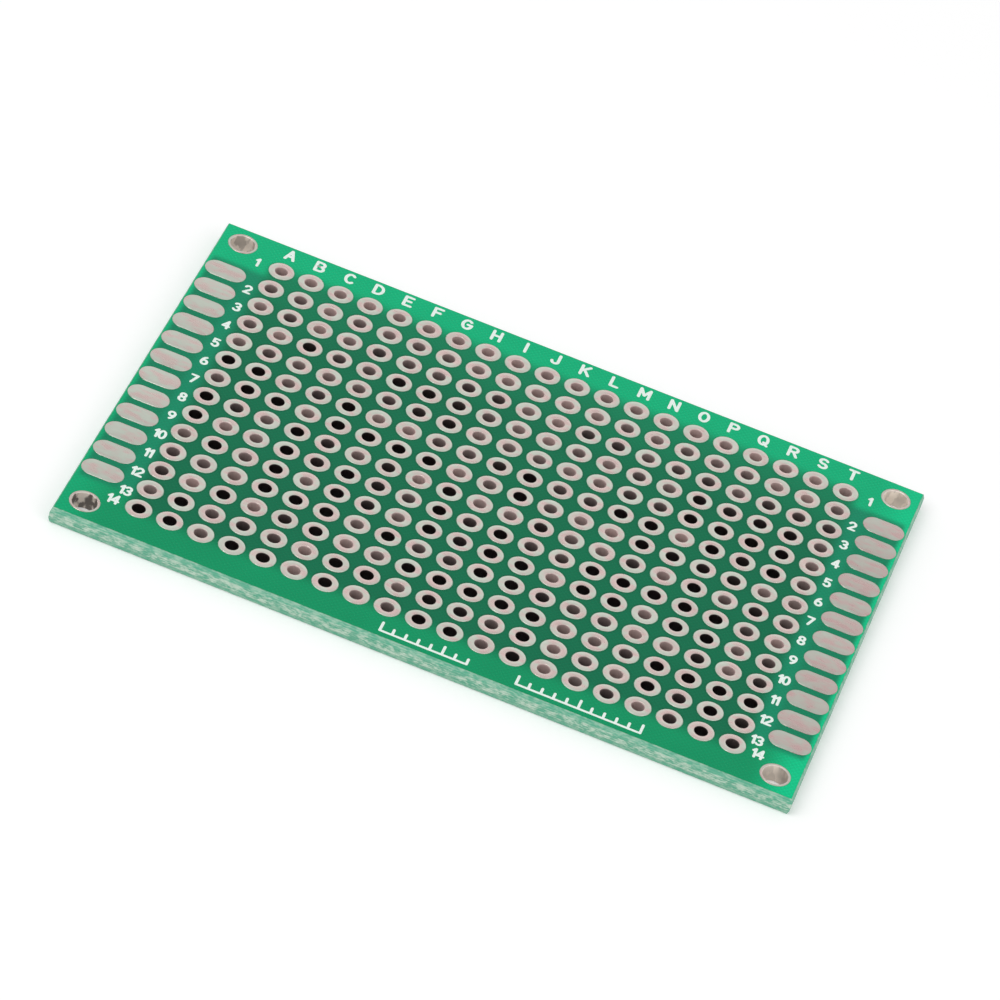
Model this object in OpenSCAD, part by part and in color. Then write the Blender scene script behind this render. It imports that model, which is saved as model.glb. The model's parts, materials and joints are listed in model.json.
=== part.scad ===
// Double-sided prototype board: a glass laminate plate with a grid of plated
// lead holes, a row of solder pads along each end, plated holes in its corners
// and a film of green solder mask on both faces.
// Millimetres. The board lies flat: length along X, width along Y, the lowest
// metal at Z = 0. The middle of the outline is at X = Y = 0.

/* [Board outline] */
// Board length, from one padded end to the other
board_l = 60; // [40:1:100]
// Board width, from the lettered edge to the plain edge
board_w = 40; // [30:1:80]
// Glass laminate thickness, without metal or mask
laminate_t = 1.5; // [0.8:0.1:3.0]

/* [Snapped edges] */
// Thickness of the web that is left between the two scoring grooves
score_web = 0.6; // [0.3:0.05:0.75]
// Lean of a scoring groove's wall from upright, in degrees
score_lean = 15; // [5:1:30]

/* [Lead hole grid] */
// Distance between neighbouring hole centres
pitch = 2.54; // [2.4:0.01:5.08]
// Finished diameter of a lead hole, inside its plating
hole_d = 1.0; // [0.7:0.05:1.2]
// Gap between the lands of neighbouring holes
land_gap = 0.44; // [0.3:0.02:0.8]
// Least bare strip for printed letters, from a long edge to the nearest lands
letter_strip = 2.2; // [1.5:0.1:3.5]
// Least bare gap for printed numbers, from an end pad to the nearest lands
number_gap = 1.1; // [0.8:0.1:2]

/* [End pads] */
// Length of an end pad, along the board
end_pad_l = 3.4; // [2.5:0.1:5]
// Width of an end pad
end_pad_w = 1.9; // [1.2:0.05:2.2]
// Strip of mask between an end pad's window and the mask's edge
end_strip = 0.04; // [0.03:0.01:0.8]

/* [Corner holes] */
// Finished diameter of a corner hole, inside its plating
corner_hole_d = 2.0; // [1.6:0.1:2.4]
// Width of the narrow rim round a corner hole
corner_rim_w = 0.2; // [0.15:0.05:0.4]
// Distance from a corner hole's centre to each of the two nearest edges
corner_inset = 2.0; // [1.8:0.1:2.4]

/* [Metal and mask] */
// Height of lands, rims and end pads above the laminate
metal_t = 0.05; // [0.04:0.01:0.15]
// Wall thickness of the plating inside a hole
barrel_t = 0.03; // [0.02:0.005:0.06]
// Rounding of a land's or pad's outer edge
shoulder_r = 0.04; // [0.01:0.01:0.15]
// Rounding where the plating turns out of a hole onto its land
lip_r = 0.08; // [0.02:0.01:0.1]
// Solder mask thickness
mask_t = 0.025; // [0.01:0.005:0.04]
// Gap between a mask window and the metal inside it
mask_gap = 0.03; // [0.01:0.01:0.1]
// Strip of bare laminate between the mask and the scored edge
mask_edge = 0.06; // [0.02:0.01:0.2]
// Radial clearance between a drilled hole and its plating
plating_fit = 0.01; // [0.005:0.005:0.03]
// Least strip of mask between an end pad and a corner hole's rim
mask_web = 0.3; // [0.1:0.05:0.6]

/* [Hidden] */
TOP = 0;     // mirror() factor along Z for the upper face
BOTTOM = 1;  // mirror() factor along Z for the lower face
LEFT = -1;
RIGHT = 1;
FRONT = -1;  // the plain long edge
REAR = 1;    // the lettered long edge

// Segments of a round hole or land, and of a rounding too small to see as one
round_fn = 40;
edge_fn = 12;
// How far a cutting shape reaches past what it cuts
over = 1;

board_t = laminate_t + 2 * metal_t;
half_laminate = laminate_t / 2;
half_board = board_t / 2;

// A scoring groove sets the flat faces back from the snapped outline
score_depth = (laminate_t - score_web) / 2;
score_setback = score_depth * tan(score_lean);
mask_inset = score_setback + mask_edge;

land_d = pitch - land_gap;
corner_rim_d = corner_hole_d + 2 * corner_rim_w;
end_pad_inset = mask_inset + end_strip + mask_gap;

// As many holes as the outline takes beside the end pads and the legend strips
end_zone = end_pad_inset + end_pad_l + number_gap + land_d / 2;
side_zone = letter_strip + land_d / 2;
columns = 1 + floor((board_l - 2 * end_zone) / pitch);
rows = 1 + floor((board_w - 2 * side_zone) / pitch);

function column_x(column) = (column - (columns - 1) / 2) * pitch;
function row_y(row) = ((rows - 1) / 2 - row) * pitch;

corner_x = board_l / 2 - corner_inset;
corner_y = board_w / 2 - corner_inset;

// An end pad stands at every row that keeps clear of the corner holes
end_pad_x = board_l / 2 - end_pad_inset - end_pad_l / 2;
clear_of_corner = end_pad_w / 2 + corner_rim_d / 2 + mask_web;
pad_rows = [for (row = [0 : rows - 1]) if (corner_y - abs(row_y(row)) > clear_of_corner) row];

// The printed letters name the columns, and the nodes follow them
alphabet = "abcdefghijklmnopqrstuvwxyz";
function column_letters(column) =
    column < len(alphabet) ? alphabet[column] : str("a", alphabet[column - len(alphabet)]);
function column_node(column) = str("hole_plating_", column_letters(column));

// Places its children on one face, with Z = 0 at the middle of the laminate
module on_face(face) {
    translate([0, 0, half_board]) mirror([0, 0, face]) children();
}

// Flat patterns, shared by the drilled laminate and the mask windows

module lead_holes_2d(diameter) {
    for (column = [0 : columns - 1], row = [0 : rows - 1])
        translate([column_x(column), row_y(row)]) circle(d = diameter, $fn = round_fn);
}

module corner_holes_2d(diameter) {
    for (x = [LEFT, RIGHT], y = [FRONT, REAR])
        translate([x * corner_x, y * corner_y]) circle(d = diameter, $fn = round_fn);
}

// A bar with round ends, along X
module slot_2d(length, width) {
    square([length - width, width], center = true);
    for (x = [LEFT, RIGHT])
        translate([x * (length - width) / 2, 0]) circle(d = width, $fn = round_fn);
}

module end_pads_2d(grow) {
    for (x = [LEFT, RIGHT], row = pad_rows)
        translate([x * end_pad_x, row_y(row)])
            slot_2d(end_pad_l + 2 * grow, end_pad_w + 2 * grow);
}

// What a convex rounding of radius r takes off a square corner, with the
// rounding's centre at the origin and the corner up and to the right
module corner_waste_2d(r) {
    difference() {
        square(2 * r);
        circle(r, $fn = edge_fn);
    }
}

// Section of the laminate across one direction: flat faces, a leaning groove
// wall at each edge and the snapped web between them
module scored_section_2d(width) {
    web_x = width / 2;
    face_x = web_x - score_setback;
    polygon([
        [-face_x, half_laminate], [-web_x, score_web / 2],
        [-web_x, -score_web / 2], [-face_x, -half_laminate],
        [face_x, -half_laminate], [web_x, -score_web / 2],
        [web_x, score_web / 2], [face_x, half_laminate]
    ]);
}

// The plate before drilling: both sections together mitre the four corners
module scored_plate() {
    intersection() {
        rotate([90, 0, 0])
            linear_extrude(board_w, center = true) scored_section_2d(board_l);
        rotate([90, 0, 90])
            linear_extrude(board_l, center = true) scored_section_2d(board_w);
    }
}

module laminate() {
    color([0.78, 0.84, 0.72])
        translate([0, 0, half_board]) difference() {
            scored_plate();
            linear_extrude(laminate_t + 2 * over, center = true) {
                lead_holes_2d(hole_d + 2 * (barrel_t + plating_fit));
                corner_holes_2d(corner_hole_d + 2 * (barrel_t + plating_fit));
            }
        }
}

// One film of solder mask, with a window for every land, rim and end pad
module solder_mask(face) {
    color([0.03, 0.52, 0.31])
        on_face(face) translate([0, 0, half_laminate]) linear_extrude(mask_t) difference() {
            square([board_l - 2 * mask_inset, board_w - 2 * mask_inset], center = true);
            lead_holes_2d(land_d + 2 * mask_gap);
            corner_holes_2d(corner_rim_d + 2 * mask_gap);
            end_pads_2d(mask_gap);
        }
}

// Section of a plated hole on one side of its axis: the barrel, and a flange
// on each face whose edges are rounded inside and out
module plated_hole_2d(bore_r, flange_r) {
    outer_r = min(shoulder_r, metal_t);
    inner_r = min(lip_r, barrel_t + metal_t);
    outer_x = flange_r - outer_r;
    inner_x = bore_r + inner_r;
    difference() {
        translate([bore_r, -half_board]) square([flange_r - bore_r, board_t]);
        translate([bore_r + barrel_t, -half_laminate]) square([flange_r, laminate_t]);
        translate([outer_x, half_board - outer_r]) corner_waste_2d(outer_r);
        translate([outer_x, outer_r - half_board]) mirror([0, 1]) corner_waste_2d(outer_r);
        translate([inner_x, half_board - inner_r]) mirror([1, 0]) corner_waste_2d(inner_r);
        translate([inner_x, inner_r - half_board]) rotate(180) corner_waste_2d(inner_r);
    }
}

module plated_hole(bore_d, flange_d) {
    rotate_extrude($fn = round_fn) plated_hole_2d(bore_d / 2, flange_d / 2);
}

// The plating of one lettered column's holes: a separate barrel in every row
module hole_plating(column) {
    color([0.76, 0.72, 0.70])
        for (row = [0 : rows - 1])
            translate([column_x(column), row_y(row), half_board]) plated_hole(hole_d, land_d);
}

module corner_plating(x, y) {
    color([0.76, 0.72, 0.70])
        translate([x * corner_x, y * corner_y, half_board])
            plated_hole(corner_hole_d, corner_rim_d);
}

// Section of an end pad across its length, standing on the X axis
module end_pad_2d() {
    outer_r = min(shoulder_r, metal_t);
    outer_x = end_pad_w / 2 - outer_r;
    difference() {
        translate([-end_pad_w / 2, 0]) square([end_pad_w, metal_t]);
        translate([outer_x, metal_t - outer_r]) corner_waste_2d(outer_r);
        translate([-outer_x, metal_t - outer_r]) mirror([1, 0]) corner_waste_2d(outer_r);
    }
}

// A half-round end of a pad, towards +X
module end_pad_tip() {
    rotate([0, 0, -90]) rotate_extrude(angle = 180, $fn = round_fn) intersection() {
        end_pad_2d();
        square([end_pad_w, metal_t]);
    }
}

// One end pad standing on Z = 0: a straight bar between two half-round ends
module end_pad() {
    straight = end_pad_l - end_pad_w;
    rotate([90, 0, 90]) linear_extrude(straight, center = true) end_pad_2d();
    translate([straight / 2, 0, 0]) end_pad_tip();
    translate([-straight / 2, 0, 0]) rotate([0, 0, 180]) end_pad_tip();
}

// The row of pads along one end, on one face
module end_pads(x, face) {
    color([0.78, 0.74, 0.72])
        on_face(face)
            for (row = pad_rows)
                translate([x * end_pad_x, row_y(row), half_laminate]) end_pad();
}

laminate();
solder_mask(TOP);  // solder_mask_top
solder_mask(BOTTOM);  // solder_mask_bottom
for (column = [0 : columns - 1])
    hole_plating(column);
corner_plating(LEFT, FRONT);  // corner_plating_front_left
corner_plating(RIGHT, FRONT);  // corner_plating_front_right
corner_plating(LEFT, REAR);  // corner_plating_rear_left
corner_plating(RIGHT, REAR);  // corner_plating_rear_right
end_pads(LEFT, TOP);  // end_pads_left_top
end_pads(RIGHT, TOP);  // end_pads_right_top
end_pads(LEFT, BOTTOM);  // end_pads_left_bottom
end_pads(RIGHT, BOTTOM);  // end_pads_right_bottom
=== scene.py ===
"""Looks of a double-sided prototype board: finishes, printed legend, studio and camera."""

from __future__ import annotations

import json
import logging
import math
import string
from dataclasses import dataclass
from enum import Enum

import bpy
import numpy as np
from mathutils import Matrix, Vector

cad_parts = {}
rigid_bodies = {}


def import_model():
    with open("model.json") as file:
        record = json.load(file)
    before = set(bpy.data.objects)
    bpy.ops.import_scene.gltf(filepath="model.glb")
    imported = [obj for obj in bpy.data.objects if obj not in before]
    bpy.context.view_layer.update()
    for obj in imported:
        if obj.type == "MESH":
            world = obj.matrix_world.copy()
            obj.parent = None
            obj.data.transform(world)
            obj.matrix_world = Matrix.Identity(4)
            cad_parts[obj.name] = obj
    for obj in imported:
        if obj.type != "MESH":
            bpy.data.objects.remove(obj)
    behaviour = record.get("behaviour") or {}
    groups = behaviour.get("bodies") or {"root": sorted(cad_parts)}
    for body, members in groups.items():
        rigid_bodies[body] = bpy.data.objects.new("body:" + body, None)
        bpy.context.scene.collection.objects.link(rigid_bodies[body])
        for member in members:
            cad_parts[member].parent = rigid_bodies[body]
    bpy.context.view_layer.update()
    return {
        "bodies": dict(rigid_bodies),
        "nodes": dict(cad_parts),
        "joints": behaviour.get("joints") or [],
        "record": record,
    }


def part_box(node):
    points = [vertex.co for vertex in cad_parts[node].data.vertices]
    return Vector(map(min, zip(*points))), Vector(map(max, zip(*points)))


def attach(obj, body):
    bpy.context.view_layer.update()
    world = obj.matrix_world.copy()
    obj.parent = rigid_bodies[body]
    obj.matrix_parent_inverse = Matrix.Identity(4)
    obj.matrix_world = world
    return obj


LOG = logging.getLogger("prototype_board")
BODY = "root"
# Metres in a millimetre
MM = 0.001
# The sRGB curve is straight up to the end of its toe and a power law above it
TOE_END, TOE_SLOPE = 0.04045, 12.92
CURVE_LIFT, CURVE_POWER = 0.055, 2.4
BRIGHTEST = 255
# Half the breadth of the soft change from one side of the board to the other, in millimetres
SIDE_CHANGE = 1.0
# Middle of what noise and random numbers give
EVEN = 0.5
# Degrees of an arc between two points of its path
ARC_STEP = 20
# Stroke points nearer to each other than this are one, in heights of a letter
SAME_PLACE = 1e-6

Object, Material, Socket = bpy.types.Object, bpy.types.Material, bpy.types.NodeSocket
Colour = tuple[float, float, float, float]
Point = tuple[float, float]
# Two places between which a look rises from 0 to 1
Span = tuple[float, float]


def linear(red: int, green: int, blue: int) -> Colour:
    """Turns a screen colour into linear light, by the sRGB curve.

    Args:
        red: Red, 0 to 255.
        green: Green, 0 to 255.
        blue: Blue, 0 to 255.

    Returns:
        The colour as four numbers, with an opaque last one.
    """
    light = [
        part / TOE_SLOPE if part <= TOE_END else ((part + CURVE_LIFT) / (1 + CURVE_LIFT)) ** CURVE_POWER
        for part in (red / BRIGHTEST, green / BRIGHTEST, blue / BRIGHTEST)
    ]
    return (light[0], light[1], light[2], 1.0)


def scaled(span: Span, size: float) -> Span:
    """Turns a span in shares of a size into millimetres."""
    return (span[0] * size, span[1] * size)


class Side(Enum):
    """A side of the board."""

    @property
    def label(self) -> str:
        """Name of the side as pieces carry it."""
        return self.name.lower()


class Face(Side):
    """A face of the board. The value is the side of the mid-plane that it lies on."""

    TOP = 1
    BOTTOM = -1


class End(Side):
    """An end of the board. The value is its side along the length."""

    LEFT = -1
    RIGHT = 1


def new_object(name: str, data: bpy.types.ID) -> Object:
    """Adds an object of a mesh, a lamp or a camera to the scene."""
    made = bpy.data.objects.new(name, data)
    bpy.context.scene.collection.objects.link(made)
    return made


# Shader graph


class Value:
    """A number in a node tree. Arithmetic on it adds Math nodes."""

    def __init__(self, paint: Paint, socket: Socket) -> None:
        """Wraps an output socket of the paint's tree."""
        self.paint = paint
        self.socket = socket

    def __add__(self, other: Operand) -> Value:
        """Sum."""
        return self.paint.math("ADD", self, other)

    def __radd__(self, other: Operand) -> Value:
        """Sum, number first."""
        return self.paint.math("ADD", other, self)

    def __sub__(self, other: Operand) -> Value:
        """Difference."""
        return self.paint.math("SUBTRACT", self, other)

    def __rsub__(self, other: Operand) -> Value:
        """Difference, number first."""
        return self.paint.math("SUBTRACT", other, self)

    def __mul__(self, other: Operand) -> Value:
        """Product."""
        return self.paint.math("MULTIPLY", self, other)

    def __rmul__(self, other: Operand) -> Value:
        """Product, number first."""
        return self.paint.math("MULTIPLY", other, self)

    def __truediv__(self, other: Operand) -> Value:
        """Quotient."""
        return self.paint.math("DIVIDE", self, other)

    def __rtruediv__(self, other: Operand) -> Value:
        """Quotient, number first."""
        return self.paint.math("DIVIDE", other, self)

    def __abs__(self) -> Value:
        """Distance from zero."""
        return self.paint.math("ABSOLUTE", self)

    def floor(self) -> Value:
        """Largest whole number that isn't above the value."""
        return self.paint.math("FLOOR", self)

    def sign(self) -> Value:
        """1 above zero and -1 below."""
        return self.paint.math("SIGN", self)

    def sine(self) -> Value:
        """Sine of the value in radians."""
        return self.paint.math("SINE", self)

    def larger(self, other: Operand) -> Value:
        """The larger of two numbers."""
        return self.paint.math("MAXIMUM", self, other)

    def diagonal(self, other: Value) -> Value:
        """Distance of a point from the middle, from its places along two axes."""
        return self.paint.math("SQRT", self * self + other * other)

    def swing(self) -> Value:
        """Departure of noise or of a random number from its middle."""
        return self - EVEN

    def rises(self, start: float, end: float) -> Value:
        """Smooth step: 0 at start and 1 at end, which may lie below start."""
        made = self.paint.node(
            "ShaderNodeMapRange",
            {"interpolation_type": "SMOOTHSTEP"},
            {"Value": self, "From Min": start, "From Max": end},
        )
        return Value(self.paint, made.outputs["Result"])

    def rises_by(self, place: float, span: Span) -> Value:
        """Smooth step over a span that is counted from a place."""
        return self.rises(place + span[0], place + span[1])

    def plus_side(self) -> Value:
        """1 above zero and 0 below, with a soft change."""
        return self.rises(-SIDE_CHANGE, SIDE_CHANGE)

    def minus_side(self) -> Value:
        """0 above zero and 1 below, with a soft change."""
        return self.rises(SIDE_CHANGE, -SIDE_CHANGE)


Operand = Value | float
Settings = dict[str, object]
Sockets = dict[str | int, object]


@dataclass(frozen=True)
class Blots:
    """Soft noise: the breadth of a blot in millimetres and the number of finer layers on top.

    The squeeze is how many times narrower the blots are along x, y and z.
    """

    size: float
    detail: float = 2.0
    squeeze: tuple[float, float, float] | None = None


class Paint:
    """The node tree of one material or world, built from expressions."""

    def __init__(self, tree: bpy.types.NodeTree) -> None:
        """Empties the tree that the nodes go into."""
        self.tree = tree
        self.tree.nodes.clear()

    def node(
        self, kind: str, settings: Settings | None = None, sockets: Sockets | None = None
    ) -> bpy.types.Node:
        """Adds a node.

        Args:
            kind: Type of the node.
            settings: Its properties, which are set first.
            sockets: Values or links of its input sockets, by name or by place.

        Returns:
            The new node.
        """
        made = self.tree.nodes.new(kind)
        for name, setting in (settings or {}).items():
            setattr(made, name, setting)
        for key, given in (sockets or {}).items():
            self.feed(made.inputs[key], given)
        return made

    def feed(self, socket: Socket, given: object) -> None:
        """Links a socket to what is given, or sets it to a plain value.

        Args:
            socket: Input socket.
            given: A Value, an output socket, a number or a colour.
        """
        if isinstance(given, Value):
            self.tree.links.new(given.socket, socket)
        elif isinstance(given, Socket):
            self.tree.links.new(given, socket)
        else:
            socket.default_value = given

    def math(self, operation: str, *operands: Operand) -> Value:
        """Adds a Math node and returns its result."""
        made = self.node("ShaderNodeMath", {"operation": operation}, dict(enumerate(operands)))
        return Value(self, made.outputs[0])

    def blend(self, share: Operand, first: object, second: object) -> Socket:
        """Mixes two colours.

        Args:
            share: Share of the second colour, 0 to 1.
            first: Colour or link where the share is 0.
            second: Colour or link where the share is 1.

        Returns:
            The mixed colour's socket.
        """
        made = self.node("ShaderNodeMix", {"data_type": "RGBA"}, {0: share, 6: first, 7: second})
        return made.outputs[2]

    def lit(self, colour: object, level: Operand) -> Socket:
        """Multiplies a colour or a vector by a number."""
        sockets = {0: colour, "Scale": level}
        return self.node("ShaderNodeVectorMath", {"operation": "SCALE"}, sockets).outputs["Vector"]

    def position(self) -> Socket:
        """Place on the piece, in millimetres of the board's own frame."""
        place = self.node("ShaderNodeTexCoord").outputs["Object"]
        return self.lit(place, 1 / MM)

    def axes(self, vector: Socket) -> tuple[Value, Value, Value]:
        """Splits a vector into its three numbers."""
        parts = self.node("ShaderNodeSeparateXYZ", None, {0: vector}).outputs
        return Value(self, parts[0]), Value(self, parts[1]), Value(self, parts[2])

    def noise(self, place: Socket, blots: Blots) -> Value:
        """Soft noise, 0 to 1 about its middle.

        Args:
            place: Vector in millimetres.
            blots: Size, detail and squeeze of the noise.

        Returns:
            The noise.
        """
        if blots.squeeze:
            sockets = {0: place, 1: blots.squeeze}
            place = self.node("ShaderNodeVectorMath", {"operation": "MULTIPLY"}, sockets).outputs["Vector"]
        sockets = {"Vector": place, "Scale": 1 / blots.size, "Detail": blots.detail}
        return Value(self, self.node("ShaderNodeTexNoise", None, sockets).outputs["Fac"])

    def lot(self, x: Operand, y: Operand, z: Operand) -> tuple[Value, Value, Value]:
        """Three even random numbers, 0 to 1, that stay the same for the same three numbers."""
        vector = self.node("ShaderNodeCombineXYZ", None, {0: x, 1: y, 2: z}).outputs[0]
        made = self.node("ShaderNodeTexWhiteNoise", {"noise_dimensions": "3D"}, {"Vector": vector})
        return self.axes(made.outputs["Color"])

    def bump(self, height: Value) -> Socket:
        """Turns a height in millimetres into a normal."""
        sockets = {"Strength": 1.0, "Distance": MM, "Height": height}
        return self.node("ShaderNodeBump", None, sockets).outputs["Normal"]

    def surface(self, sockets: Sockets) -> None:
        """Ends a material's tree with its shader.

        Args:
            sockets: Values or links of the shader's sockets.
        """
        shader = self.node("ShaderNodeBsdfPrincipled", None, sockets)
        self.node("ShaderNodeOutputMaterial", None, {"Surface": shader.outputs[0]})


def new_material(name: str) -> tuple[Material, Paint]:
    """Makes an empty material and the paint that fills its tree."""
    material = bpy.data.materials.new(name)
    material.use_nodes = True
    return material, Paint(material.node_tree)


# Sizes


@dataclass(frozen=True)
class BoardSizes:
    """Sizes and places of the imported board, in millimetres.

    The middle is the height of the mid-plane, and the mask's height is counted from it.
    """

    half_length: float
    half_width: float
    middle: float
    mask_height: float
    pitch: float
    first_hole: Point
    columns: int
    rows: int
    hole_radius: float
    land_radius: float
    corner_hole: Point
    corner_radius: float
    pad_start: float
    pad_end: float
    pad_reach: float

    @classmethod
    def measure(cls, frame: dict) -> BoardSizes:
        """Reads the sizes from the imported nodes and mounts.


        Returns:
            The sizes.
        """
        mounts = {mount["name"]: mount for mount in frame["record"]["mounts"]}
        grid, corners = mounts["lead_grid"]["dims"], mounts["corner_holes"]["dims"]
        columns = sum(name.startswith("hole_plating_") for name in frame["nodes"])
        plate_low, plate_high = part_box("laminate")
        _, mask_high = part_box("solder_mask_top")
        land_low, land_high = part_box("hole_plating_a")
        pad_low, pad_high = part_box("end_pads_right_top")
        middle = (plate_low[2] + plate_high[2]) / 2
        return cls(
            half_length=plate_high[0] / MM,
            half_width=plate_high[1] / MM,
            middle=middle / MM,
            mask_height=(mask_high[2] - middle) / MM,
            pitch=grid["spacing_x_mm"],
            first_hole=tuple(place / MM for place in mounts["lead_hole"]["pos_m"][:2]),
            columns=columns,
            rows=grid["count"] // columns,
            hole_radius=grid["hole_r_mm"],
            land_radius=(land_high[0] - land_low[0]) / 2 / MM,
            corner_hole=(corners["spacing_x_mm"] / 2, corners["spacing_y_mm"] / 2),
            corner_radius=corners["hole_r_mm"],
            pad_start=pad_low[0] / MM,
            pad_end=pad_high[0] / MM,
            pad_reach=pad_high[1] / MM,
        )

    def column(self, index: int) -> float:
        """Place along the length of a column of holes, counted from 0 at the left end."""
        return self.first_hole[0] + index * self.pitch

    def row(self, index: int) -> float:
        """Place along the width of a row of holes, counted from 0 at the lettered edge."""
        return self.first_hole[1] - index * self.pitch

    def pad_half_width(self) -> float:
        """Half the width of an end pad. The outermost one lies on the second row."""
        return self.pad_reach - self.row(1)

    def nearest(self, place: Value, axis: int) -> tuple[Value, Value]:
        """Finds the nearest hole along one axis.

        Args:
            place: Place along the axis.
            axis: 0 for the length and 1 for the width.

        Returns:
            Its number, which is 0 for the first hole and grows with the place, and the
            place from its centre.
        """
        from_first = place - self.first_hole[axis]
        number = (from_first / self.pitch + 0.5).floor()
        return number, from_first - number * self.pitch

    def depth(self, height: Value) -> Value:
        """Depth of a place under the nearer face of the board, from its height."""
        return self.middle - abs(height - self.middle)


# Finishes


@dataclass(frozen=True)
class SolderMask:
    """Glossy green lacquer over woven glass, with painted light in its green: a painted glow at the
    rims, where no metal lies near it, strongest at the right end and lighter towards the rear,
    and painted shade among the lands, between the pads and round each land.

    A fade is where a look starts and where it is full, in millimetres from its edge, land or
    pad. The rear fades are shares of half the width and of the outer row's place.
    """

    # The front green is the lacquer's own. The rear and end greens are painted light, and the gap and
    # shaded greens are painted shade, painted lighter in the rear rows.
    front_green: Colour = linear(3, 149, 98)
    rear_lit_green: Colour = linear(4, 180, 123)
    end_glow_green: Colour = linear(4, 198, 137)
    gap_shaded_green: Colour = linear(14, 139, 101)
    shaded_green: Colour = linear(4, 112, 76)
    shaded_rear_lit_green: Colour = linear(10, 129, 88)
    roughness: float = 0.26
    mirror_level: float = 0.12
    grid_side_fade: Span = (1.4, -0.8)
    grid_end_fade: Span = (1.5, 0.4)
    gap_side_fade: Span = (0.8, -0.2)
    gap_end_fade: Span = (0.0, -0.5)
    pads_start_fade: Span = (-0.2, 0.4)
    pads_shade: float = 0.4
    glow_fade: Span = (-4.0, -0.5)
    left_glow: float = 0.35
    rear_light_fade: Span = (-0.4, 0.9)
    rear_rows_light_fade: Span = (0.5, 1.0)
    # Painted shade round each land
    halo_fade: Span = (0.3, 0.0)
    halo_shade: float = 0.15
    thread: float = 0.42
    thread_shade: float = 0.08
    thread_relief: float = 0.0015
    wander: Blots = Blots(5.0)
    wander_reach: float = 0.35
    cloud: Blots = Blots(5.0, 3.0)
    cloud_shade: float = 0.2
    swell: Blots = Blots(1.4)
    swell_relief: float = 0.004
    grain: Blots = Blots(0.12, 3.0)
    grain_roughness: float = 0.12

    def grid(self, sizes: BoardSizes, x: Value, y: Value) -> Value:
        """1 in the grid of lands and 0 outside, from the places along the length and the width."""
        beside_rows = abs(y).rises_by(sizes.first_hole[1], self.grid_side_fade)
        return beside_rows * abs(x).rises_by(-sizes.first_hole[0], self.grid_end_fade)

    def green(
        self, paint: Paint, sizes: BoardSizes, x: Value, y: Value, in_grid: Value
    ) -> Socket:
        """Works out the green of each region, with painted light and shade: the front, painted light at
        the rear, a painted glow at the ends, and painted shade in the gap, the pads and the grid.

        Args:
            paint: Paint of the material.
            sizes: Sizes of the board.
            x: Place along the length.
            y: Place along the width.
            in_grid: 1 in the grid of lands and 0 outside.

        Returns:
            The colour.
        """
        along = abs(x)
        beside_pads = abs(y).rises_by(sizes.pad_reach, self.gap_side_fade)
        in_gap = beside_pads * along.rises_by(sizes.pad_end, self.gap_end_fade)
        in_pads = in_gap * along.rises_by(sizes.pad_start, self.pads_start_fade)
        # Painted glow at the ends, stronger at the right end than at the left
        glow = along.rises_by(sizes.half_length, self.glow_fade)
        glow = glow * (self.left_glow + x.plus_side() * (1.0 - self.left_glow))
        # Painted light: the open green is painted lighter towards the rear
        rear_light = y.rises(*scaled(self.rear_light_fade, sizes.half_width))
        open_green = paint.blend(rear_light, self.front_green, self.rear_lit_green)
        open_green = paint.blend(glow, open_green, self.end_glow_green)
        # Painted shade in the gap between the grid and the pads
        open_green = paint.blend(in_gap, open_green, self.gap_shaded_green)
        # Painted shade among the lands and between the pads, painted lighter in the rear rows
        rear_rows_light = y.rises(*scaled(self.rear_rows_light_fade, sizes.first_hole[1]))
        shaded = paint.blend(rear_rows_light, self.shaded_green, self.shaded_rear_lit_green)
        return paint.blend(in_grid.larger(in_pads * self.pads_shade), open_green, shaded)

    def material(self, sizes: BoardSizes) -> Material:
        """Makes the material, with a weave of sin(x) * sin(y) and a painted shade round each land.

        Args:
            sizes: Sizes of the board.

        Returns:
            The material.
        """
        material, paint = new_material("solder_mask_green")
        place = paint.position()
        x, y, _ = paint.axes(place)
        wander = paint.noise(place, self.wander) * self.wander_reach
        turn = 2 * math.pi / self.thread
        weave = ((x + wander) * turn).sine() * ((y + wander) * turn).sine()
        cloud = paint.noise(place, self.cloud)
        _, own_x = sizes.nearest(x, 0)
        _, own_y = sizes.nearest(y, 1)
        in_grid = self.grid(sizes, x, y)
        green = self.green(paint, sizes, x, y, in_grid)
        # Painted shade round each land
        halo = own_x.diagonal(own_y).rises_by(sizes.land_radius, self.halo_fade) * in_grid
        tone = 1.0 + weave * self.thread_shade + cloud.swing() * self.cloud_shade
        grain = paint.noise(place, self.grain)
        swell = paint.noise(place, self.swell)
        paint.surface({
            "Base Color": paint.lit(green, tone - halo * self.halo_shade),
            "Roughness": self.roughness + grain.swing() * self.grain_roughness,
            "Specular IOR Level": self.mirror_level,
            "Normal": paint.bump(weave * self.thread_relief + swell * self.swell_relief),
        })
        return material


@dataclass(frozen=True)
class Coat:
    """Open coat of tin: its colour, its roughness and the height of its ripple in millimetres."""

    colour: Socket
    roughness: Value
    ripple: Value


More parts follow.
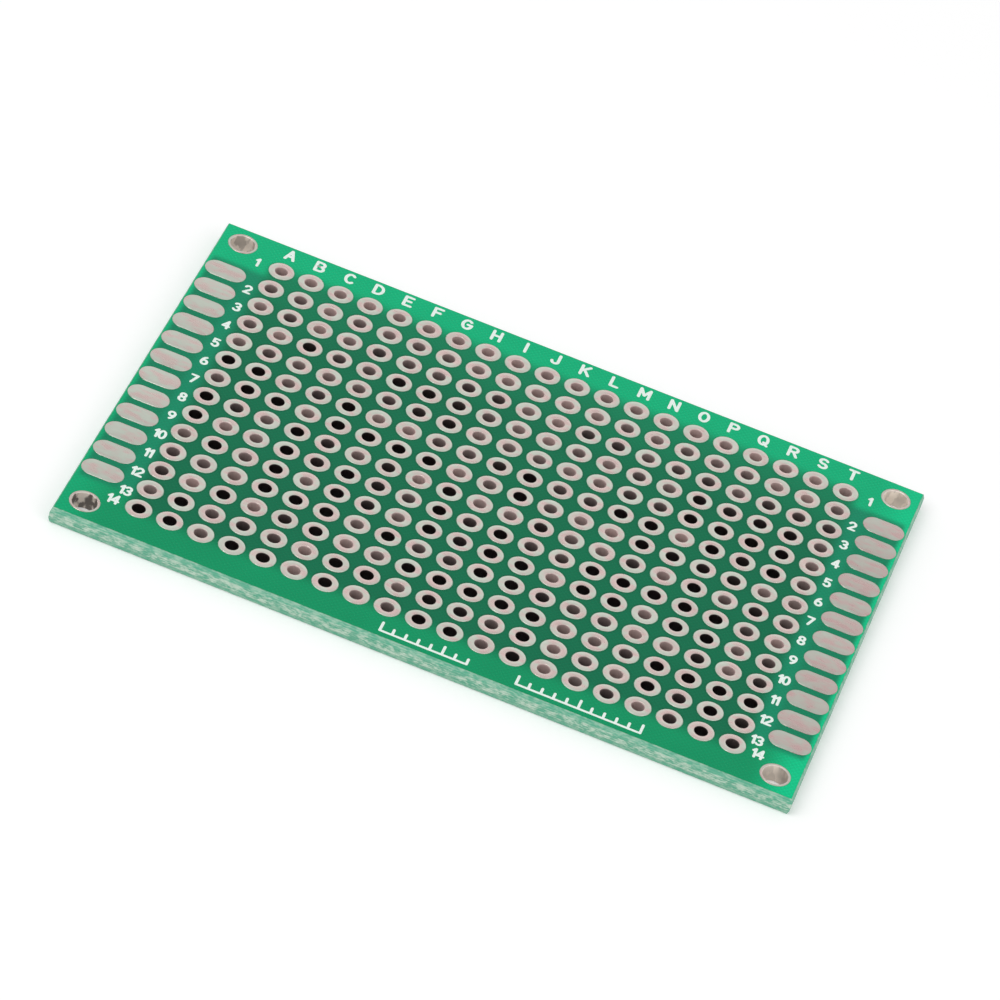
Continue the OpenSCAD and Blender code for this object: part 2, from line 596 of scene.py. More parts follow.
@dataclass(frozen=True)
class Tin:
    """Hot-levelled tin on copper: a warm coat in pink and grey clouds, duller inside a hole."""

    pink: Colour = linear(226, 194, 191)
    grey: Colour = linear(204, 210, 198)
    # Dark colour of a hole's wall, which is mixed with a pale one
    dark_wall: Colour = linear(28, 17, 18)
    metallic: float = 0.9
    wall_metallic: float = 0.4
    roughness: float = 0.3
    wall_roughness: float = 0.15
    cloud: Blots = Blots(1.1, 1.5, (1.0, 2.0, 1.0))
    cloud_fade: Span = (0.32, 0.68)
    cloud_grey: float = 0.8
    rim_grey: float = 0.5
    light: float = 0.86
    cloud_light: float = 0.2
    cloud_roughness: float = 0.25
    cloud_relief: float = 0.012
    grain: Blots = Blots(0.07)
    grain_roughness: float = 0.04
    grain_relief: float = 0.0001
    crown: float = 0.045
    lean: float = 0.09

    def coat(
        self, paint: Paint, place: Socket, rim: Operand, light: Operand = 1.0
    ) -> Coat:
        """Works out the open coat of tin.

        Args:
            paint: Paint of the material.
            place: Place in millimetres.
            rim: How much greyer the coat is, as at a rim, 0 to 1.
            light: How bright the coat is against the usual.

        Returns:
            The coat.
        """
        cloud = paint.noise(place, self.cloud)
        grain = paint.noise(place, self.grain)
        share = cloud.rises(*self.cloud_fade) * self.cloud_grey + rim * self.rim_grey
        level = (self.light + cloud * self.cloud_light) * light
        roughness = self.roughness + cloud.swing() * self.cloud_roughness
        return Coat(
            colour=paint.lit(paint.blend(share, self.pink, self.grey), level),
            roughness=roughness + grain.swing() * self.grain_roughness,
            ripple=cloud * self.cloud_relief + grain * self.grain_relief,
        )

    def leaning(self, x: Value, y: Value, lot_x: Value, lot_y: Value) -> Value:
        """Height of a coat that leans its own way: x and y, each times a random slope."""
        return (x * lot_x.swing() + y * lot_y.swing()) * self.lean

    def lined(
        self, paint: Paint, coat: Coat, inside: Value, lining: Socket,
        height: Value, wall_metallic: Operand,
    ) -> None:
        """Ends a material that has an open coat and a duller lining in its hole.

        Args:
            paint: Paint of the material.
            coat: The open coat.
            inside: 1 on the wall of the hole and 0 outside.
            lining: Colour of the wall.
            height: Height of the open coat without its ripple, in millimetres.
            wall_metallic: How metallic the wall is, 0 to 1.
        """
        paint.surface({
            "Base Color": paint.blend(inside, coat.colour, lining),
            "Metallic": self.metallic - inside * (self.metallic - wall_metallic),
            "Roughness": coat.roughness + inside * self.wall_roughness,
            "Normal": paint.bump(height + coat.ripple),
        })


@dataclass(frozen=True)
class LandTin(Tin):
    """Tin of the lead holes, crowned on each land.

    Walls by the lettered edge are painted pale: painted light, as on far walls lit from above.
    In the other rows a random number gives how pale or dark a wall is.
    """

    pale_wall: Colour = linear(206, 184, 180)
    seed: float = 3.0
    lip_fade: Span = (0.08, 0.03)
    rim_fade: Span = (-0.22, 0.0)
    open_grey: float = 0.3
    open_light: float = 1.1
    # Painted light: rows by the lettered edge, whose walls are painted pale
    lit_rows: Span = (-3.5, 1.0)
    paleness_by_chance: Span = (0.24, 1.1)
    # Painted light and shade of the wall: painted lighter at the top, painted darker deeper down
    wall_light: float = 1.15
    depth_fade: Span = (0.05, 0.9)
    depth_shade: float = 0.7
    paleness_gain: float = 0.4

    def material(self, sizes: BoardSizes) -> Material:
        """Makes the tin of the lead holes.

        The height of the coat is crown * 4 * t * (1 - t), where t runs from 0 at the
        hole's edge to 1 at the land's edge, plus a small lean of its own for each land.

        Args:
            sizes: Sizes of the board.

        Returns:
            The material.
        """
        material, paint = new_material("tinned_land")
        place = paint.position()
        x, y, z = paint.axes(place)
        column, own_x = sizes.nearest(x, 0)
        row, own_y = sizes.nearest(y, 1)
        out = own_x.diagonal(own_y)
        lot_x, lot_y, chance = paint.lot(column, row, self.seed)
        share = (out - sizes.hole_radius) / (sizes.land_radius - sizes.hole_radius)
        crown = share * (1.0 - share) * (4 * self.crown)
        # Painted light: walls in the rows by the lettered edge are painted pale, as far walls lit from
        # above
        lift = row.rises(*self.lit_rows)
        paleness = lift + chance.rises(*self.paleness_by_chance) * (1.0 - lift)
        # Painted shade: the wall is painted darker deeper in the hole, less so on pale walls
        deep = sizes.depth(z).rises(*self.depth_fade)
        level = self.wall_light - deep * (self.depth_shade - paleness * self.paleness_gain)
        rim = out.rises_by(sizes.land_radius, self.rim_fade)
        self.lined(
            paint,
            coat=self.coat(paint, place, self.open_grey + rim, self.open_light),
            inside=out.rises_by(sizes.hole_radius, self.lip_fade),
            lining=paint.lit(paint.blend(paleness, self.dark_wall, self.pale_wall), level),
            height=crown + self.leaning(own_x, own_y, lot_x, lot_y),
            wall_metallic=self.wall_metallic,
        )
        return material


@dataclass(frozen=True)
class CornerTin(Tin):
    """Tin of the four corner holes, with dark blotches in their walls, most in the near left one.

    The right holes have a painted highlight on their left walls, and the near right one painted
    shade on its right wall. Deeper down, each wall is painted darker.
    """

    pale_wall: Colour = linear(240, 230, 218)
    lip_fade: Span = (0.05, 0.005)
    open_grey: float = 0.5
    blotch: Blots = Blots(0.6, 3.0, (1.0, 1.0, 0.5))
    blotch_fade: Span = (0.54, 0.44)
    blotch_relief: float = 0.03
    # Share of dark blotches in the walls: some in every hole, more on the left, most in the near left one
    dark_blotches: float = 0.2
    left_dark_blotches: float = 0.2
    near_left_dark_blotches: float = 0.4
    wall_light: float = 0.98
    # Painted highlight on the left walls of the right holes
    painted_gleam_fade: Span = (0.2, -0.4)
    painted_gleam_light: float = 0.2
    painted_gleam_white: float = 2.0
    # Painted shade on the right wall of the near right hole
    painted_dusk_fade: Span = (-0.1, 0.5)
    dusk_shade: float = 0.3
    depth_fade: Span = (0.1, 0.8)
    depth_shade: float = 0.12

    def material(self, sizes: BoardSizes) -> Material:
        """Makes the tin of the four corner holes.

        Args:
            sizes: Sizes of the board.

        Returns:
            The material.
        """
        material, paint = new_material("tinned_corner")
        place = paint.position()
        x, y, z = paint.axes(place)
        own_x = x - x.sign() * sizes.corner_hole[0]
        own_y = abs(y) - sizes.corner_hole[1]
        blotch = paint.noise(place, self.blotch)
        left, near = x.minus_side(), y.minus_side()
        # Dark blotches in the walls, most in the near left hole
        blotch_darkness = self.dark_blotches + left * self.left_dark_blotches + left * near * self.near_left_dark_blotches
        paleness = 1.0 - blotch.rises(*self.blotch_fade) * blotch_darkness
        # Painted highlight on the left walls of the right holes, less metallic there so that it reads
        # white
        painted_gleam = own_x.rises(*self.painted_gleam_fade) * (1.0 - left) * self.painted_gleam_light
        # Painted shade on the right wall of the near right hole
        painted_dusk = own_x.rises(*self.painted_dusk_fade) * near * (1.0 - left) * self.dusk_shade
        # Painted shade deeper in the hole
        deep = sizes.depth(z).rises(*self.depth_fade) * self.depth_shade
        level = self.wall_light + painted_gleam - painted_dusk - deep
        self.lined(
            paint,
            coat=self.coat(paint, place, self.open_grey),
            inside=own_x.diagonal(own_y).rises_by(sizes.corner_radius, self.lip_fade),
            lining=paint.lit(paint.blend(paleness, self.dark_wall, self.pale_wall), level),
            height=blotch * self.blotch_relief,
            wall_metallic=self.wall_metallic - painted_gleam * self.painted_gleam_white,
        )
        return material


@dataclass(frozen=True)
class PadTin(Tin):
    """Tin of the end pads, crowned across each pad, greyer at its long sides and the left end."""

    seed: float = 7.0
    length_crown: float = 0.3
    side_fade: Span = (0.35, 1.0)
    left_grey: float = 0.5
    right_light: float = 0.88
    left_light: float = 0.12

    def material(self, sizes: BoardSizes) -> Material:
        """Makes the tin of the end pads.

        The height of the coat is -crown * (y * y + length_crown * x * x), with x and y from
        the middle of the pad, plus a small lean of its own for each pad.

        Args:
            sizes: Sizes of the board.

        Returns:
            The material.
        """
        material, paint = new_material("tinned_pad")
        place = paint.position()
        x, y, _ = paint.axes(place)
        row, own_y = sizes.nearest(y, 1)
        own_x = abs(x) - (sizes.pad_start + sizes.pad_end) / 2
        lot_x, lot_y, _ = paint.lot(x.plus_side(), row, self.seed)
        crown = (own_y * own_y + own_x * own_x * self.length_crown) * -self.crown
        left = x.minus_side()
        side = abs(own_y).rises(*scaled(self.side_fade, sizes.pad_half_width()))
        light = self.right_light + left * self.left_light
        coat = self.coat(paint, place, side + left * self.left_grey, light)
        height = crown + self.leaning(own_x, own_y, lot_x, lot_y)
        paint.surface({
            "Base Color": coat.colour,
            "Metallic": self.metallic,
            "Roughness": coat.roughness,
            "Normal": paint.bump(height + coat.ripple),
        })
        return material


@dataclass(frozen=True)
class Laminate:
    """Pale glass and epoxy: plies show along the cut edges, fibres on the snapped web."""

    resin: Colour = linear(84, 170, 138)
    fibre: Colour = linear(200, 220, 202)
    ply: float = 0.19
    ply_share: float = 0.08
    ply_relief: float = 0.003
    wander: Blots = Blots(0.8, 3.0, (0.6, 0.6, 3.0))
    wander_reach: float = 0.12
    tufts: Blots = Blots(0.8, 2.0, (1.0, 1.0, 2.0))
    tuft_share: float = 0.55
    fibres: Blots = Blots(0.3, 5.0, (1.0, 1.0, 3.5))
    fibre_relief: float = 0.02
    pale_fade: Span = (0.4, 0.62)
    pale_share: float = 0.45
    web: float = 0.32
    web_fade: Span = (0.05, -0.03)
    web_pale: float = 0.4
    web_share: float = 0.08
    web_roughness: float = 0.25
    crumbs: Blots = Blots(0.09, 3.0)
    crumb_relief: float = 0.006
    crumb_roughness: float = 0.1
    web_relief: float = 0.05
    roughness: float = 0.5

    def material(self, sizes: BoardSizes) -> Material:
        """Makes the material, whose plies are a sine of the height that wanders a little.

        Args:
            sizes: Sizes of the board.

        Returns:
            The material.
        """
        material, paint = new_material("glass_laminate_edge")
        place = paint.position()
        _, _, z = paint.axes(place)
        wander = paint.noise(place, self.wander) * self.wander_reach
        plies = ((z + wander) * (2 * math.pi / self.ply)).sine()
        fibres = paint.noise(place, self.fibres)
        mixed = paint.noise(place, self.tufts) * self.tuft_share + fibres * (1 - self.tuft_share)
        pale = mixed.rises(*self.pale_fade)
        snapped = abs(z - sizes.middle).rises_by(self.web, self.web_fade)
        fibrous = pale * (self.pale_share + snapped * self.web_pale)
        share = plies * self.ply_share + fibrous + snapped * self.web_share
        crumbs = paint.noise(place, self.crumbs)
        rough = self.roughness + snapped * self.web_roughness + crumbs.swing() * self.crumb_roughness
        relief = plies * self.ply_relief + fibres * self.fibre_relief
        relief = relief + crumbs * (snapped * self.web_relief + self.crumb_relief)
        paint.surface({
            "Base Color": paint.blend(share, self.resin, self.fibre),
            "Roughness": rough,
            "Normal": paint.bump(relief),
        })
        return material


@dataclass(frozen=True)
class LegendInk:
    """Thick white printing ink, a little uneven, with the green of the board in its thin spots."""

    white: Colour = linear(238, 249, 243)
    thin: Colour = linear(190, 230, 210)
    patch: Blots = Blots(0.16, 3.0)
    thin_fade: Span = (0.5, 0.85)
    roughness: float = 0.55
    patch_roughness: float = 0.2
    patch_relief: float = 0.004

    def material(self) -> Material:
        """Makes the material.

        Returns:
            The material.
        """
        material, paint = new_material("legend_white")
        patch = paint.noise(paint.position(), self.patch)
        paint.surface({
            "Base Color": paint.blend(patch.rises(*self.thin_fade), self.white, self.thin),
            "Roughness": self.roughness + patch.swing() * self.patch_roughness,
            "Normal": paint.bump(patch * self.patch_relief),
        })
        return material


# Legend


@dataclass(frozen=True)
class Line:
    """A straight stretch of a pen stroke, in a box one high."""

    x0: float
    y0: float
    x1: float
    y1: float

    def points(self) -> np.ndarray:
        """Both ends of the stretch."""
        return np.array([(self.x0, self.y0), (self.x1, self.y1)])


@dataclass(frozen=True)
class Arc:
    """A round stretch: (x + wide * cos a, y + high * sin a), with a from first to last degree."""

    x: float
    y: float
    wide: float
    high: float
    first: float
    last: float

    def points(self) -> np.ndarray:
        """Points along the arc, both ends among them."""
        count = 2 + int(abs(self.last - self.first) // ARC_STEP)
        angle = np.radians(np.linspace(self.first, self.last, count))
        ring = np.stack([np.cos(angle), np.sin(angle)], axis=1)
        return np.array((self.x, self.y)) + np.array((self.wide, self.high)) * ring


Stroke = tuple[Line | Arc, ...]

STEM: Stroke = (Line(0, 0, 0, 1),)
P_BOWL: Stroke = (
    Line(0, 1, 0.34, 1), Arc(0.34, 0.75, 0.25, 0.25, 90, -90), Line(0.34, 0.5, 0, 0.5)
)
O_RING: Stroke = (Arc(0.32, 0.5, 0.32, 0.5, 90, 450),)

# Strokes of each letter and digit, in a box one high
GLYPHS: dict[str, tuple[Stroke, ...]] = {
    "A": ((Line(0, 0, 0.31, 1),), (Line(0.31, 1, 0.62, 0),), (Line(0.11, 0.34, 0.51, 0.34),)),
    "B": (
        STEM,
        (Line(0, 1, 0.33, 1), Arc(0.33, 0.76, 0.24, 0.24, 90, -90), Line(0.33, 0.52, 0, 0.52)),
        (Line(0, 0.52, 0.34, 0.52), Arc(0.34, 0.26, 0.26, 0.26, 90, -90), Line(0.34, 0, 0, 0)),
    ),
    "C": ((Arc(0.33, 0.5, 0.33, 0.5, 48, 312),),),
    "D": (STEM, (Line(0, 1, 0.22, 1), Arc(0.22, 0.5, 0.4, 0.5, 90, -90), Line(0.22, 0, 0, 0))),
    "E": (STEM, (Line(0, 1, 0.54, 1),), (Line(0, 0.52, 0.45, 0.52),), (Line(0, 0, 0.54, 0),)),
    "F": (STEM, (Line(0, 1, 0.54, 1),), (Line(0, 0.52, 0.45, 0.52),)),
    "G": ((Arc(0.33, 0.5, 0.33, 0.5, 48, 360),), (Line(0.66, 0.5, 0.38, 0.5),)),
    "H": (STEM, (Line(0.6, 0, 0.6, 1),), (Line(0, 0.52, 0.6, 0.52),)),
    "I": (STEM,),
    "J": ((Line(0.48, 1, 0.48, 0.25), Arc(0.24, 0.25, 0.24, 0.25, 0, -180)),),
    "K": (STEM, (Line(0.58, 1, 0, 0.38),), (Line(0.2, 0.58, 0.6, 0),)),
    "L": (STEM, (Line(0, 0, 0.52, 0),)),
    "M": (STEM, (Line(0, 1, 0.36, 0.3),), (Line(0.36, 0.3, 0.72, 1),), (Line(0.72, 1, 0.72, 0),)),
    "N": (STEM, (Line(0, 1, 0.6, 0),), (Line(0.6, 0, 0.6, 1),)),
    "O": (O_RING,),
    "P": (STEM, P_BOWL),
    "Q": (O_RING, (Line(0.4, 0.26, 0.66, -0.05),)),
    "R": (STEM, P_BOWL, (Line(0.3, 0.5, 0.6, 0),)),
    "S": ((Arc(0.3, 0.75, 0.27, 0.25, 30, 270), Arc(0.3, 0.25, 0.28, 0.25, 90, -150)),),
    "T": ((Line(0, 1, 0.62, 1),), (Line(0.31, 1, 0.31, 0),)),
    "0": ((Arc(0.26, 0.5, 0.26, 0.5, 90, 450),),),
    "1": ((Line(0, 0.76, 0.2, 1),), (Line(0.2, 1, 0.2, 0),)),
    "2": (
        (Arc(0.26, 0.73, 0.26, 0.27, 165, -38), Line(0.465, 0.564, 0, 0)),
        (Line(0, 0, 0.52, 0),),
    ),
    "3": ((Arc(0.25, 0.76, 0.24, 0.24, 150, -90),), (Arc(0.25, 0.26, 0.27, 0.26, 90, -150),)),
    "4": ((Line(0.4, 0, 0.4, 1),), (Line(0.4, 1, 0, 0.3),), (Line(0, 0.3, 0.54, 0.3),)),
    "5": (
        (Line(0.48, 1, 0.07, 1),),
        (Line(0.07, 1, 0.06, 0.54),),
        (Arc(0.25, 0.31, 0.27, 0.31, 132, -148),),
    ),
    "6": ((Arc(0.26, 0.28, 0.26, 0.28, 90, 450),), (Arc(0.52, 0.28, 0.52, 0.72, 180, 112),)),
    "7": ((Line(0, 1, 0.52, 1),), (Line(0.52, 1, 0.16, 0),)),
    "8": ((Arc(0.26, 0.76, 0.22, 0.24, 90, 450),), (Arc(0.26, 0.26, 0.26, 0.26, 90, 450),)),
    "9": ((Arc(0.26, 0.72, 0.26, 0.28, 90, 450),), (Arc(0, 0.72, 0.52, 0.72, 0, -68),)),
}


def stroke_path(stroke: Stroke) -> np.ndarray:
    """Joins the stretches of a stroke end to end, as rows of x and y."""
    points = np.concatenate([stretch.points() for stretch in stroke])
    steps = np.linalg.norm(np.diff(points, axis=0), axis=1)
    return points[np.concatenate([[True], steps > SAME_PLACE])]


@dataclass(frozen=True)
class Pen:
    """Lays ink along a path, as a low ridge with round ends. Lengths are in millimetres."""

    width: float
    height: float = 0.013
    sunk: float = 0.003
    cap_angles: tuple[float, ...] = (30.0, 60.0)
    profile_angles: tuple[float, ...] = (0.0, 45.0, 90.0, 135.0, 180.0)

    def ridge(self, path: np.ndarray) -> tuple[np.ndarray, list[list[int]]]:
        """Carries a half-round profile along a path.

        A point of the surface is path(s) + normal(s) * f(s) * cos(a) * width / 2, at a
        height of f(s) * sin(a) * (height + sunk) - sunk, with a from 0 to 180 degrees. f is
        1 along the path. Past each end it is the cosine of an angle c, and the profile is
        moved on by sin(c) * width / 2.

        Args:
            path: Rows of x and y.

        Returns:
            The vertices and the faces of a closed ridge.
        """
        half = self.width / 2
        ahead = np.gradient(path, axis=0)
        ahead /= np.linalg.norm(ahead, axis=1, keepdims=True)
        cap = np.radians(self.cap_angles)
        centres = np.concatenate([
            path[0] - ahead[0] * (half * np.sin(cap[::-1]))[:, None],
            path,
            path[-1] + ahead[-1] * (half * np.sin(cap))[:, None],
        ])
        fade = np.concatenate([np.cos(cap[::-1]), np.ones(len(path)), np.cos(cap)])
        before, after = (np.repeat(end, len(cap), axis=0) for end in (ahead[:1], ahead[-1:]))
        heading = np.concatenate([before, ahead, after])
        side = np.stack([-heading[:, 1], heading[:, 0]], axis=1)
        angle = np.radians(self.profile_angles)
        rings = np.empty((len(centres), len(angle), 3))
        spread = fade[:, None] * np.cos(angle)[None, :] * half
        rings[..., :2] = centres[:, None, :] + side[:, None, :] * spread[..., None]
        rise = fade[:, None] * np.sin(angle)[None, :]
        rings[..., 2] = rise * (self.height + self.sunk) - self.sunk
        tips = np.array([path[0] - ahead[0] * half, path[-1] + ahead[-1] * half])
        poles = np.column_stack([tips, np.full(2, -self.sunk)])
        return np.concatenate([rings.reshape(-1, 3), poles]), self.skin(len(centres), len(angle))

    @staticmethod
    def skin(rings: int, points: int) -> list[list[int]]:
        """Lists the faces between rings of points, closed at both ends to a tip.

        Args:
            rings: Number of rings.
            points: Number of points in each.

        Returns:
            The faces, with their outsides outwards.
        """
        number = np.arange(rings * points).reshape(rings, points)
        after = np.roll(number, -1, axis=1)
        sides = np.stack([number[:-1], after[:-1], after[1:], number[1:]], axis=-1).reshape(-1, 4)
        first_tip, last_tip = rings * points, rings * points + 1
        faces = sides.tolist()
        faces += [[first_tip, b, a] for a, b in zip(number[0].tolist(), after[0].tolist())]
        faces += [[a, b, last_tip] for a, b in zip(number[-1].tolist(), after[-1].tolist())]
        return faces


@dataclass(frozen=True)
class Legend:
    """White grid letters and numbers, and plain rulers by the unlettered edge, on both faces.

    Places are distances from the board's middle, in millimetres.
    """

    sizes: BoardSizes
    ink: Material
    pen: Pen = Pen(width=0.28)
    fine_pen: Pen = Pen(width=0.24)
    letter_height: float = 1.1
    letter_place: float = 18.85
    number_height: float = 0.9
    glyph_gap: float = 0.18
    number_place: float = 25.72
    number_drop: float = 1.13
    end_number_place: float = 26.2
    ruler_place: float = -19.25
    ruler_step: float = 1.0
    rulers: tuple[Span, ...] = ((-3.5, 3.5), (7.5, 17.5))
    tick: float = 0.6
    long_tick: float = 0.95
    long_tick_every: int = 5

    def build(self) -> list[Object]:
        """Prints both faces.

        Returns:
            The printed pieces.
        """
        pieces = []
        for face in Face:
            letters = self.letters(face)
            pieces.append(self.print_piece(f"letters_{face.label}", face, self.pen, letters))
            for end in End:
                name, numbers = f"numbers_{end.label}_{face.label}", self.numbers(face, end)
                pieces.append(self.print_piece(name, face, self.fine_pen, numbers))
            rulers = self.ruler_paths()
            pieces.append(self.print_piece(f"rulers_{face.label}", face, self.fine_pen, rulers))
        return pieces

    def text(self, words: str, centre: Point, height: float, face: Face) -> list[np.ndarray]:
        """Sets letters or digits about a point.

        Args:
            words: Letters or digits.
            centre: Middle of the text on the board, seen through the board from above.
            height: Height of the letters.
            face: Face that the text is read from.

        Returns:
            Paths of the strokes, in the plane of the face as it is read.
        """
        paths, start = [], 0.0
        for letter in words:
            strokes = [stroke_path(stroke) * height for stroke in GLYPHS[letter]]
            width = max(path[:, 0].max() for path in strokes)
            paths += [path + (start, 0.0) for path in strokes]
            start += width + self.glyph_gap
        shift = (centre[0] * face.value - (start - self.glyph_gap) / 2, centre[1] - height / 2)
        return [path + shift for path in paths]

    def letters(self, face: Face) -> list[np.ndarray]:
        """Strokes of the letter of each column, as they are read from a face."""
        paths = []
        for index in range(self.sizes.columns):
            centre = (self.sizes.column(index), self.letter_place)
            paths += self.text(string.ascii_uppercase[index], centre, self.letter_height, face)
        return paths

    def numbers(self, face: Face, end: End) -> list[np.ndarray]:
        """Strokes of the numbers of the rows at one end.

        The first and the last stand on their rows. The others stand beside the pads, a
        little below their rows.

        Args:
            face: Face that they are read from.
            end: End of the board.

        Returns:
            Paths of the strokes.
        """
        paths = []
        for index in range(self.sizes.rows):
            outer = index in (0, self.sizes.rows - 1)
            reach = self.end_number_place if outer else self.number_place
            drop = 0.0 if outer else self.number_drop
            centre = (end.value * reach, self.sizes.row(index) - drop)
            paths += self.text(str(index + 1), centre, self.number_height, face)
        return paths

    def ruler_paths(self) -> list[np.ndarray]:
        """Strokes of the plain rulers: a base line each, and ticks, some of them longer."""
        paths = []
        base = self.ruler_place
        for start, end in self.rulers:
            paths.append(np.array([(start, base), (end, base)]))
            for index in range(1 + round((end - start) / self.ruler_step)):
                tick = self.tick if index % self.long_tick_every else self.long_tick
                place = start + index * self.ruler_step
                paths.append(np.array([(place, base), (place, base + tick)]))
        return paths

    def print_piece(
        self, name: str, face: Face, pen: Pen, paths: list[np.ndarray]
    ) -> Object:
        """Inks paths on a face as one piece.

        The lower face is the upper one turned half a turn about the width's axis, so x and
        z change sign together and the faces stay outwards.

        Args:
            name: Name of the piece.
            face: Face of the board.
            pen: Pen that inks them.
            paths: Paths of the strokes.

        Returns:
            The piece.
        """
        vertices, faces, count = [], [], 0
        for path in paths:
            points, skin = pen.ridge(path)
            faces += [[count + corner for corner in corners] for corners in skin]
            vertices.append(points)
            count += len(points)
        placed = np.concatenate(vertices) + (0.0, 0.0, self.sizes.mask_height)
        placed *= (face.value, 1.0, face.value)
        placed += (0.0, 0.0, self.sizes.middle)
        mesh = bpy.data.meshes.new(name)
        mesh.from_pydata((placed * MM).tolist(), [], faces)
        mesh.materials.append(self.ink)
        piece = new_object(name, mesh)
        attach(piece, BODY)
        return piece


# Board


@dataclass(frozen=True)
class Board:
    """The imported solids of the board, which keep their shapes and get their finishes."""

    nodes: dict[str, Object]
    sizes: BoardSizes

    def dress(self) -> None:
        """Gives each node its finish."""
        self.finish("laminate", Laminate().material(self.sizes))
        self.finish("solder_mask_", SolderMask().material(self.sizes))
        self.finish("hole_plating_", LandTin().material(self.sizes))
        self.finish("corner_plating_", CornerTin().material(self.sizes))
        self.finish("end_pads_", PadTin().material(self.sizes))

    def finish(self, prefix: str, material: Material) -> None:
        """Gives one material to the nodes whose names start with a prefix.

        Args:
            prefix: Start of the names.
            material: The material.
        """
        for name, node in self.nodes.items():
            if name.startswith(prefix):
                for slot in node.material_slots:
                    slot.material = material
                LOG.info("node %s: %s", name, material.name)


# Studio


@dataclass(frozen=True)
class Stand:
    """Where a lamp or a camera stands about its target: angles in degrees, distance in metres.

    Azimuth 0 is in front of the unlettered edge. The roll turns the right side up.
    """

    azimuth: float
    elevation: float
    distance: float
    roll: float = 0.0

    def matrix(self, target: Vector) -> Matrix:
        """Works out the matrix of what stands here and looks at the target.

        Args:
            target: Point that it looks at.

        Returns:
            The matrix, whose columns are its right, its up, its back and its place.
        """
        turn, lift, lean = map(math.radians, (self.azimuth, self.elevation, self.roll))
        level = Vector((math.cos(turn), math.sin(turn), 0.0))
        out = math.cos(lift)
        back = Vector((math.sin(turn) * out, -math.cos(turn) * out, math.sin(lift)))
        right = level * math.cos(lean) + back.cross(level) * math.sin(lean)
        matrix = Matrix((right, back.cross(right), back)).transposed().to_4x4()
        matrix.translation = target + back * self.distance
        return matrix


@dataclass(frozen=True)
class AreaLamp:
    """A soft square lamp that faces the board, with its size in metres."""

    name: str
    stand: Stand
    size: float
    watts: float

    def hang(self, target: Vector) -> None:
        """Hangs the lamp.

        Args:
            target: Point that it faces.
        """
        lamp = bpy.data.lights.new(self.name, "AREA")
        lamp.size = self.size
        lamp.energy = self.watts
        new_object(self.name, lamp).matrix_world = self.stand.matrix(target)


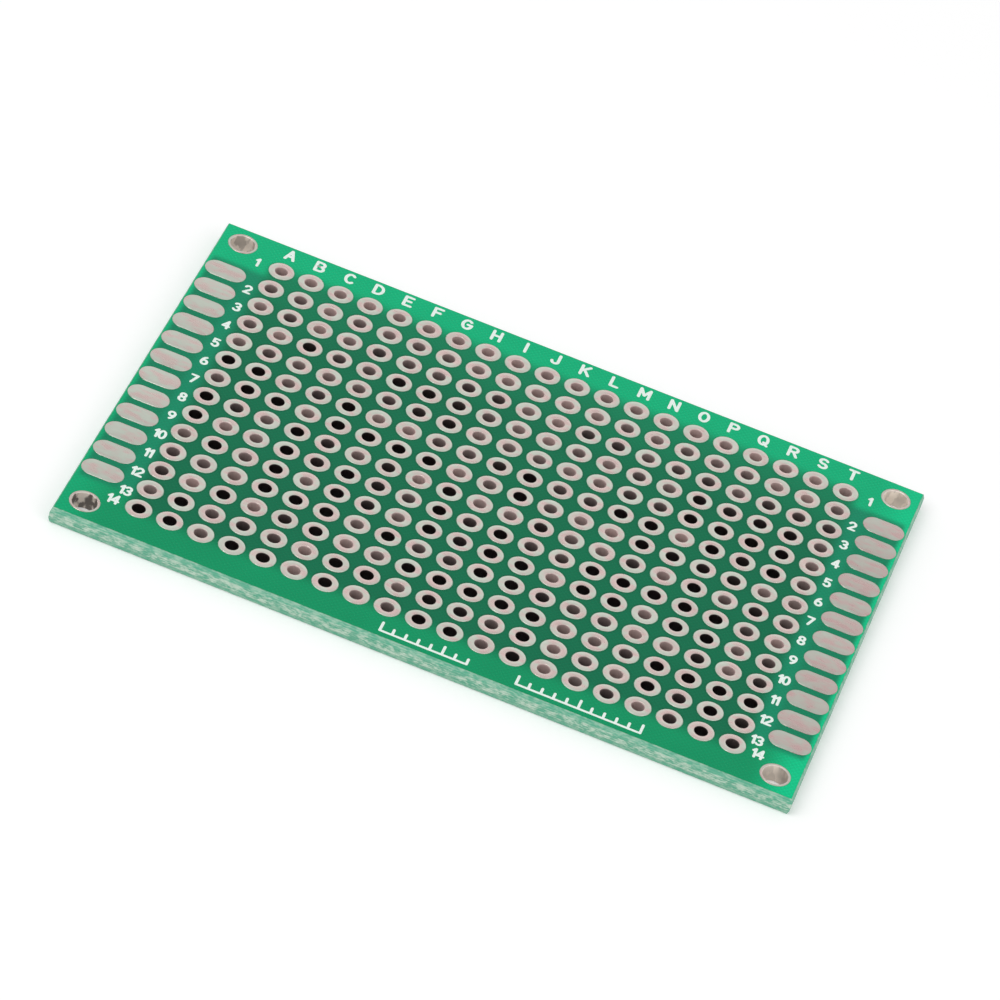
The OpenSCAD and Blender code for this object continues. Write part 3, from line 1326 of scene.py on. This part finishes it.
@dataclass(frozen=True)
class Studio:
    """White floor, soft lamps, pale world and the camera.

    The lens, the sensor and the floor's drop are in millimetres, other lengths in metres.
    """

    stand: Stand = Stand(6.777, 39.714, 0.47244, 17.134)
    lens: float = 220.0
    sensor: float = 36.0
    nearest_seen: float = 0.01
    floor_radius: float = 1.5
    floor_drop: float = 0.02
    floor_corners: int = 64
    floor_white: float = 0.9
    floor_lift: float = 0.2
    ambience: float = 0.8
    ceiling: float = 0.72
    ceiling_fade: Span = (0.2, 0.9)
    lamps: tuple[AreaLamp, ...] = (
        AreaLamp("key_lamp", Stand(-38.0, 52.0, 0.8), 0.5, 1.95),
        AreaLamp("fill_lamp", Stand(62.0, 38.0, 0.9), 0.6, 0.9),
    )

    def build(self, sizes: BoardSizes) -> None:
        """Sets the stage about the board, with the camera at the photograph's angle.

        Args:
            sizes: Sizes of the board.
        """
        scene = bpy.context.scene
        scene.view_settings.view_transform = "Standard"
        target = Vector((0.0, 0.0, 2 * sizes.middle * MM))
        self.light_world(scene)
        self.lay_floor()
        for lamp in self.lamps:
            lamp.hang(target)
        camera = bpy.data.cameras.new("camera")
        camera.lens = self.lens
        camera.sensor_width = self.sensor
        camera.clip_start = self.nearest_seen
        scene.camera = new_object("camera", camera)
        scene.camera.matrix_world = self.stand.matrix(target)

    @staticmethod
    def seen(paint: Paint) -> Value:
        """1 for rays that show the background, straight, mirrored or through glass, else 0."""
        rays = paint.node("ShaderNodeLightPath").outputs
        kinds = ("Is Camera Ray", "Is Glossy Ray", "Is Transmission Ray")
        straight, mirrored, through = (Value(paint, rays[kind]) for kind in kinds)
        return straight.larger(mirrored).larger(through)

    def light_world(self, scene: bpy.types.Scene) -> None:
        """Makes the world white to the eye, and greyer overhead in mirrors and as a soft light.

        Args:
            scene: The scene.
        """
        scene.world = bpy.data.worlds.new("studio_world")
        scene.world.use_nodes = True
        paint = Paint(scene.world.node_tree)
        _, _, up = paint.axes(paint.node("ShaderNodeTexCoord").outputs["Generated"])
        straight = Value(paint, paint.node("ShaderNodeLightPath").outputs["Is Camera Ray"])
        sky = 1.0 - up.rises(*self.ceiling_fade) * (1.0 - self.ceiling) * (1.0 - straight)
        strength = sky * (self.ambience + self.seen(paint) * (1.0 - self.ambience))
        sockets = {"Color": (1.0, 1.0, 1.0, 1.0), "Strength": strength}
        white = paint.node("ShaderNodeBackground", None, sockets)
        paint.node("ShaderNodeOutputWorld", None, {"Surface": white.outputs[0]})

    def lay_floor(self) -> None:
        """Lays the white floor, a disc just under the lowest metal, which keeps the shadow."""
        angle = np.linspace(0.0, 2 * math.pi, self.floor_corners, endpoint=False)
        ring = np.column_stack([np.cos(angle), np.sin(angle)]) * self.floor_radius
        rim = np.column_stack([ring, np.full_like(angle, -self.floor_drop * MM)])
        mesh = bpy.data.meshes.new("studio_floor")
        mesh.from_pydata(rim.tolist(), [], [list(range(len(rim)))])
        material, paint = new_material("studio_white")
        white = (self.floor_white, self.floor_white, self.floor_white, 1.0)
        matte = paint.node("ShaderNodeBsdfDiffuse", None, {"Color": white})
        lift = self.seen(paint) * self.floor_lift
        glow = paint.node("ShaderNodeEmission", None, {"Strength": lift})
        both = paint.node("ShaderNodeAddShader", None, {0: matte.outputs[0], 1: glow.outputs[0]})
        paint.node("ShaderNodeOutputMaterial", None, {"Surface": both.outputs[0]})
        mesh.materials.append(material)
        new_object("studio_floor", mesh)


def main() -> None:
    """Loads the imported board, dresses it, prints its legend and sets the stage."""
    logging.basicConfig(level=logging.INFO, format="%(message)s")
    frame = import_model()
    sizes = BoardSizes.measure(frame)
    Studio().build(sizes)
    Board(frame["nodes"], sizes).dress()
    for piece in Legend(sizes, LegendInk().material()).build():
        LOG.info("piece %s: %d faces", piece.name, len(piece.data.polygons))


if __name__ == "__main__":
    main()
